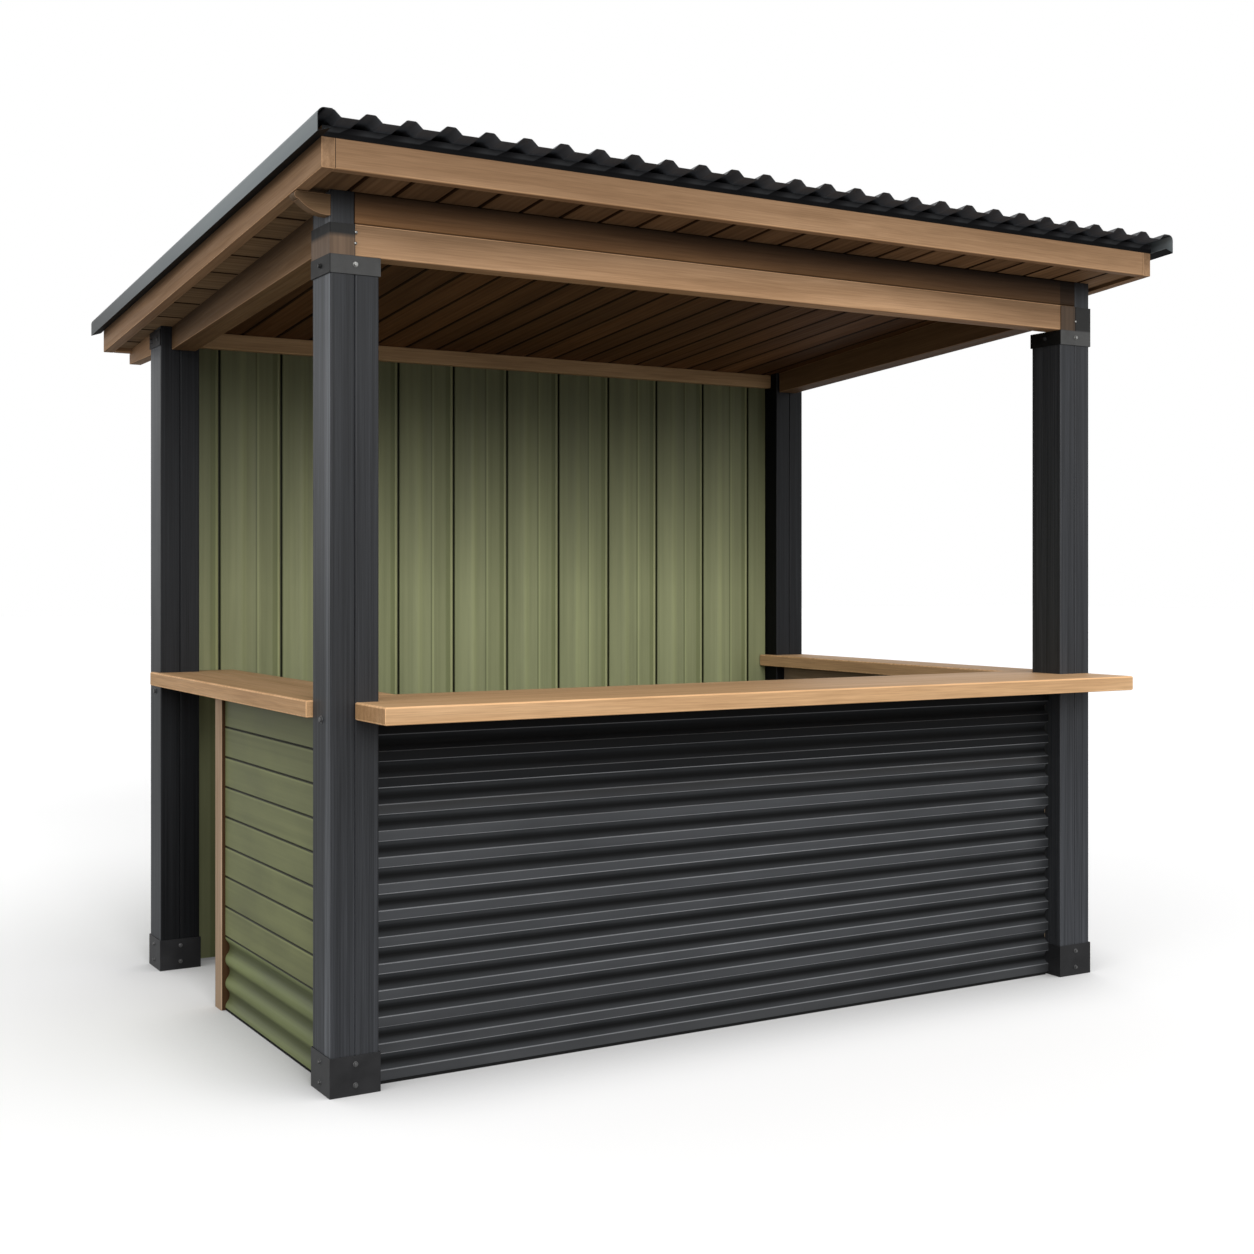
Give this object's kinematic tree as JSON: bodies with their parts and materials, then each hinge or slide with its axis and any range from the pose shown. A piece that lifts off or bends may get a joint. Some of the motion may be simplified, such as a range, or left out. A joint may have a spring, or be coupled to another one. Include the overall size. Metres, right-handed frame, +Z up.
{
  "type": "garden bar",
  "caption": "Open timber garden bar with a sloping corrugated roof, oak counters on its front and sides, corrugated fronts, a ribbed back wall and an entry gap at the left",
  "frame": {"origin": "on the ground, under the middle of the roof", "axes": "+X to the right along the serving front, +Y from the front to the back wall, +Z up"},
  "size_m": [3.204, 2.525, 2.6746],
  "materials": {
    "post_timber": "painted satin",
    "boot_steel": "powder coated",
    "band_steel": "powder coated",
    "cedar": "oiled",
    "ceiling_boards": "stained",
    "rough_timber": "sawn",
    "roof_steel": "satin",
    "flashing_steel": "satin",
    "oak": "oiled",
    "charcoal_sheet": "satin",
    "green_sheet": "satin"
  },
  "bodies": {
    "root": {"post_front_left_outer": "post_timber", "post_front_left_inner": "post_timber", "boot_front_left": "boot_steel", "post_front_right_outer": "post_timber", "post_front_right_inner": "post_timber", "boot_front_right": "boot_steel", "post_back_left_outer": "post_timber", "post_back_left_inner": "post_timber", "boot_back_left": "boot_steel", "post_back_right_outer": "post_timber", "post_back_right_inner": "post_timber", "boot_back_right": "boot_steel", "head_band_front_left": "band_steel", "head_plate_back_left": "band_steel", "head_band_front_right": "band_steel", "head_plate_back_right": "band_steel", "header_front_lower": "cedar", "header_front_upper": "cedar", "header_left": "cedar", "header_right": "cedar", "header_back": "cedar", "header_tails_back": "cedar", "scroll_end_left": "cedar", "fascia_front": "cedar", "fascia_back": "cedar", "fascia_left": "cedar", "fascia_right": "cedar", "ceiling_deck": "ceiling_boards", "roof_purlins": "rough_timber", "roof_sheet": "roof_steel", "flashing_left": "flashing_steel", "flashing_right": "flashing_steel", "drip_front": "roof_steel", "counter_front": "oak", "counter_left": "oak", "counter_right": "oak", "panel_front": "charcoal_sheet", "panel_right": "charcoal_sheet", "panel_left": "green_sheet", "wall_sheet_inner": "green_sheet", "wall_sheet_outer": "green_sheet", "wall_girts": "rough_timber", "rails_front": "rough_timber", "rails_sides": "rough_timber", "jamb_left": "cedar"}
  },
  "joints": []
}
